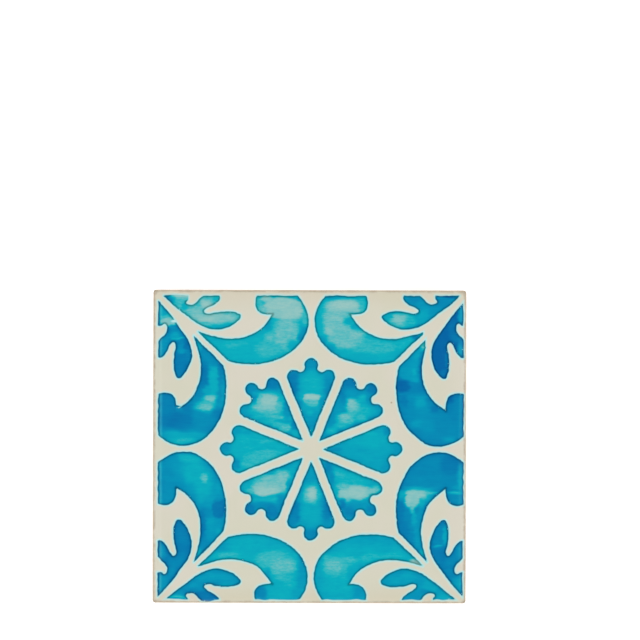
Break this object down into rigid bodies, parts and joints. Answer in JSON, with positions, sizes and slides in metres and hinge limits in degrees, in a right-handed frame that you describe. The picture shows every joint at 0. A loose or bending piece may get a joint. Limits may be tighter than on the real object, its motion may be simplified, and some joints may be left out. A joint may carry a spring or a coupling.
{
  "type": "azulejo tile",
  "caption": "Square glazed earthenware wall tile with a hand-painted rosette and scroll pattern, a rounded glazed edge and a keyed back for bedding in mortar.",
  "frame": {"origin": "centre of the back, on the plane that the tile lies on", "axes": "+Z out of the glazed face, +Y to the top of the decoration as the picture shows it, +X to its right"},
  "size_m": [0.14, 0.14, 0.008],
  "materials": {
    "glazed_earthenware": "opaque cream tin glaze on the face and over its rim, gloss, painted by brush in blue and turquoise; bare pale clay on the walls and the back"
  },
  "bodies": {
    "root": {"tile": "glazed_earthenware"}
  },
  "joints": []
}
